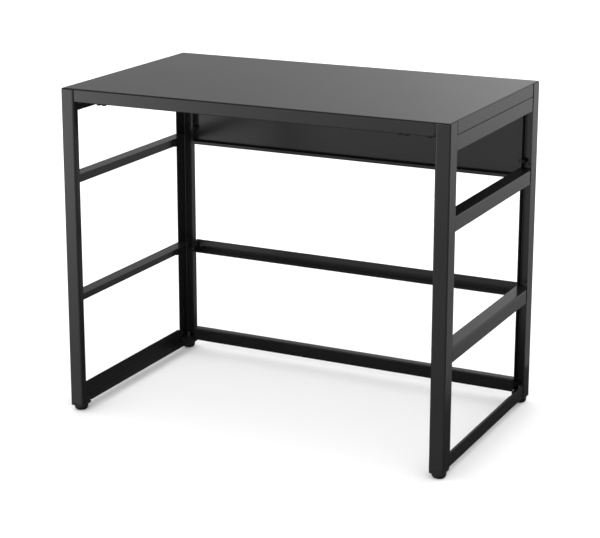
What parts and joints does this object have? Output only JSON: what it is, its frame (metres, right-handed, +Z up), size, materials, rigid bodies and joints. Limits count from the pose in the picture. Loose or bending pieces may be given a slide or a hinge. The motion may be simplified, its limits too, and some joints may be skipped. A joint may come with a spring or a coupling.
{
  "type": "writing desk",
  "caption": "Open steel desk with a folded sheet top on two side frames, joined by a modesty panel and rear rails, on screw-adjusted glides.",
  "frame": {"origin": "on the floor under the middle of the top, centre of the bounding box's underside", "axes": "+X to the user's right along the desk, +Y from the user's side to the back, +Z up"},
  "size_m": [0.9, 0.53, 0.74],
  "materials": {
    "powder_coat": "black powder coat with a fine texture, semi-gloss",
    "black_moulding": "black moulded plastic, lightly grained",
    "zinc": "dull zinc-plated steel studs and foot nuts",
    "black_screw": "blackened steel bolts, screws and nuts"
  },
  "bodies": {
    "desk": {"back_panel": "powder_coat", "desktop_pan": "powder_coat", "desktop_stiffener": "powder_coat", "floor_rail_bolt_left": "black_screw", "floor_rail_bolt_right": "black_screw", "floor_rail_nut_left": "black_screw", "floor_rail_nut_right": "black_screw", "front_left_end_cap": "black_moulding", "front_left_foot_nut": "zinc", "front_left_leg": "powder_coat", "front_lip_screw_left_1": "black_screw", "front_lip_screw_left_2": "black_screw", "front_lip_screw_left_3": "black_screw", "front_lip_screw_right_1": "black_screw", "front_lip_screw_right_2": "black_screw", "front_lip_screw_right_3": "black_screw", "front_right_end_cap": "black_moulding", "front_right_foot_nut": "zinc", "front_right_leg": "powder_coat", "front_rivet": "powder_coat", "left_floor_rail": "powder_coat", "left_lower_rail": "powder_coat", "left_top_rail": "powder_coat", "left_upper_rail": "powder_coat", "lower_panel_bolt_left": "black_screw", "lower_panel_bolt_right": "black_screw", "lower_panel_nut_left": "black_screw", "lower_panel_nut_right": "black_screw", "middle_rail_bolt_left": "black_screw", "middle_rail_bolt_right": "black_screw", "middle_rail_nut_left": "black_screw", "middle_rail_nut_right": "black_screw", "rear_floor_rail": "powder_coat", "rear_left_end_cap": "black_moulding", "rear_left_foot_nut": "zinc", "rear_left_leg": "powder_coat", "rear_middle_rail": "powder_coat", "rear_right_end_cap": "black_moulding", "rear_right_foot_nut": "zinc", "rear_right_leg": "powder_coat", "right_floor_rail": "powder_coat", "right_lower_rail": "powder_coat", "right_top_rail": "powder_coat", "right_upper_rail": "powder_coat", "top_screw_front_left": "black_screw", "top_screw_front_right": "black_screw", "top_screw_rear_left": "black_screw", "top_screw_rear_right": "black_screw", "upper_panel_bolt_left": "black_screw", "upper_panel_bolt_right": "black_screw", "upper_panel_nut_left": "black_screw", "upper_panel_nut_right": "black_screw"},
    "front_left_foot": {"front_left_glide": "black_moulding", "front_left_stud": "zinc"},
    "front_right_foot": {"front_right_glide": "black_moulding", "front_right_stud": "zinc"},
    "rear_left_foot": {"rear_left_glide": "black_moulding", "rear_left_stud": "zinc"},
    "rear_right_foot": {"rear_right_glide": "black_moulding", "rear_right_stud": "zinc"}
  },
  "joints": [
    {"name": "front_left_foot_level", "type": "slide", "parent": "desk", "child": "front_left_foot", "axis": [0, 0, -1], "range_m": [0, 0.012]},
    {"name": "front_right_foot_level", "type": "slide", "parent": "desk", "child": "front_right_foot", "axis": [0, 0, -1], "range_m": [0, 0.012]},
    {"name": "rear_left_foot_level", "type": "slide", "parent": "desk", "child": "rear_left_foot", "axis": [0, 0, -1], "range_m": [0, 0.012]},
    {"name": "rear_right_foot_level", "type": "slide", "parent": "desk", "child": "rear_right_foot", "axis": [0, 0, -1], "range_m": [0, 0.012]}
  ]
}
